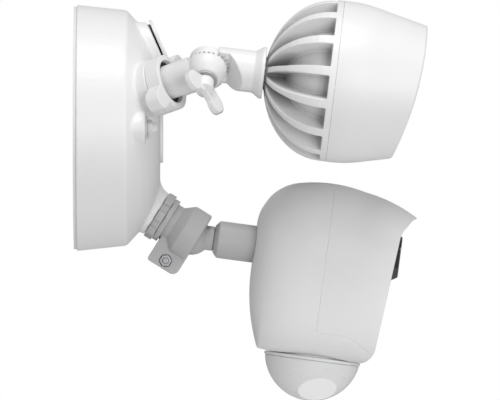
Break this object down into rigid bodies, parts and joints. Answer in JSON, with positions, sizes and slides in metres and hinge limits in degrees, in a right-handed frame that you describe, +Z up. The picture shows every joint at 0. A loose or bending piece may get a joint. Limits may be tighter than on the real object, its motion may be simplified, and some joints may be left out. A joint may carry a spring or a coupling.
{
  "type": "floodlight security camera",
  "caption": "Wall-mounted security camera with swivelling finned floodlights on a round wiring canopy and a motion-sensor dome under a ball-jointed camera.",
  "frame": {"origin": "centre of the canopy's back face, on the wall, in the plane of the wall bracket's back", "axes": "+Y into the wall, +Z up; the lamps and the camera face -Y"},
  "size_m": [0.1874, 0.1819, 0.2062],
  "materials": {
    "white_plastic": "satin",
    "grey_plastic": "satin",
    "painted_aluminium": "painted satin",
    "white_metal": "painted satin",
    "steel": "satin",
    "black_rubber": "matt",
    "white_foam": "matt",
    "black_plastic": "matt",
    "gloss_black": "gloss",
    "lens_glass": "polished",
    "frosted_lens": "frosted",
    "bright_reflector": "bright",
    "circuit_board": "satin",
    "infrared_window": "gloss",
    "milky_dome": "satin milky"
  },
  "bodies": {
    "root": {"wall_bracket": "steel", "bracket_studs": "steel", "wall_gasket": "white_foam", "canopy": "white_plastic", "front_cover": "white_plastic", "cover_strip": "black_rubber", "cap_nuts": "white_metal", "cap_nut_washers": "white_metal", "power_module": "black_plastic", "terminal_block": "white_plastic"},
    "arm_left": {"arm_left": "white_plastic", "arm_seal_left": "black_rubber", "arm_clip_left": "steel", "hub_washer_left": "grey_plastic"},
    "wing_ring_left": {"wing_ring_left": "white_plastic"},
    "wing_screw_left": {"wing_screw_left": "white_plastic"},
    "lamp_left": {"lamp_bracket_left": "white_plastic", "heat_sink_left": "painted_aluminium", "lamp_shroud_left": "white_plastic", "led_board_left": "circuit_board", "reflector_left": "bright_reflector", "lamp_lens_left": "frosted_lens", "lens_gasket_left": "black_rubber"},
    "arm_right": {"arm_right": "white_plastic", "arm_seal_right": "black_rubber", "arm_clip_right": "steel", "hub_washer_right": "grey_plastic"},
    "wing_ring_right": {"wing_ring_right": "white_plastic"},
    "wing_screw_right": {"wing_screw_right": "white_plastic"},
    "lamp_right": {"lamp_bracket_right": "white_plastic", "heat_sink_right": "painted_aluminium", "lamp_shroud_right": "white_plastic", "led_board_right": "circuit_board", "reflector_right": "bright_reflector", "lamp_lens_right": "frosted_lens", "lens_gasket_right": "black_rubber"},
    "lock_nut": {"lock_nut": "grey_plastic"},
    "ball_clamp": {"ball_clamp": "grey_plastic", "neck_clip": "steel", "clamp_bolt": "steel", "clamp_nut": "steel"},
    "socket_liner": {"socket_liner": "black_plastic"},
    "ball_stud": {"ball_stud": "grey_plastic", "stud_clip": "steel"},
    "camera": {"stem_sleeve": "grey_plastic", "rear_housing": "white_plastic", "front_housing": "white_plastic", "lens_panel": "gloss_black", "lens_barrel": "black_plastic", "lens_glass": "lens_glass", "ir_leds": "infrared_window", "main_board": "circuit_board", "speaker": "black_plastic", "pir_board": "circuit_board", "pir_sensors": "steel", "pir_ring": "white_plastic", "pir_dome": "milky_dome", "housing_screws": "steel"}
  },
  "joints": [
    {"name": "arm_swivel_left", "type": "hinge", "parent": "root", "child": "arm_left", "pos_m": [-0.042, -0.0439, 0.0213], "axis": [-0.4075, -0.8581, 0.3123], "range_deg": [-60, 60]},
    {"name": "wing_ring_turn_left", "type": "hinge", "parent": "root", "child": "wing_ring_left", "pos_m": [-0.042, -0.0439, 0.0213], "axis": [-0.4075, -0.8581, 0.3123], "continuous": true},
    {"name": "lamp_tilt_left", "type": "hinge", "parent": "arm_left", "child": "lamp_left", "pos_m": [-0.05378, -0.0687, 0.03033], "axis": [-0.7108, 0.0833, -0.6985], "range_deg": [-12, 45]},
    {"name": "wing_screw_turn_left", "type": "hinge", "parent": "arm_left", "child": "wing_screw_left", "pos_m": [-0.05378, -0.0687, 0.03033], "axis": [-0.7108, 0.0833, -0.6985], "continuous": true},
    {"name": "arm_swivel_right", "type": "hinge", "parent": "root", "child": "arm_right", "pos_m": [0.042, -0.0439, 0.0213], "axis": [-0.4075, 0.8581, -0.3123], "range_deg": [-60, 60]},
    {"name": "wing_ring_turn_right", "type": "hinge", "parent": "root", "child": "wing_ring_right", "pos_m": [0.042, -0.0439, 0.0213], "axis": [-0.4075, 0.8581, -0.3123], "continuous": true},
    {"name": "lamp_tilt_right", "type": "hinge", "parent": "arm_right", "child": "lamp_right", "pos_m": [0.05378, -0.0687, 0.03033], "axis": [-0.7108, -0.0833, 0.6985], "range_deg": [-12, 45]},
    {"name": "wing_screw_turn_right", "type": "hinge", "parent": "arm_right", "child": "wing_screw_right", "pos_m": [0.05378, -0.0687, 0.03033], "axis": [-0.7108, -0.0833, 0.6985], "continuous": true},
    {"name": "lock_nut_turn", "type": "hinge", "parent": "root", "child": "lock_nut", "pos_m": [0, -0.0607, -0.0557], "axis": [0, -0.848, -0.5299], "continuous": true},
    {"name": "mount_swivel", "type": "hinge", "parent": "root", "child": "ball_clamp", "pos_m": [0, -0.0607, -0.0557], "axis": [0, -0.848, -0.5299], "range_deg": [-60, 60]},
    {"name": "ball_swing", "type": "hinge", "parent": "ball_clamp", "child": "socket_liner", "pos_m": [0, -0.0607, -0.0557], "axis": [0, -0.848, -0.5299], "range_deg": [-30, 30]},
    {"name": "camera_tilt", "type": "hinge", "parent": "socket_liner", "child": "ball_stud", "pos_m": [0, -0.0607, -0.0557], "axis": [1, 0, 0], "range_deg": [0, 45]},
    {"name": "camera_roll", "type": "hinge", "parent": "ball_stud", "child": "camera", "pos_m": [0, -0.0607, -0.0557], "axis": [0, -0.9912, -0.1323], "range_deg": [-30, 30]}
  ]
}
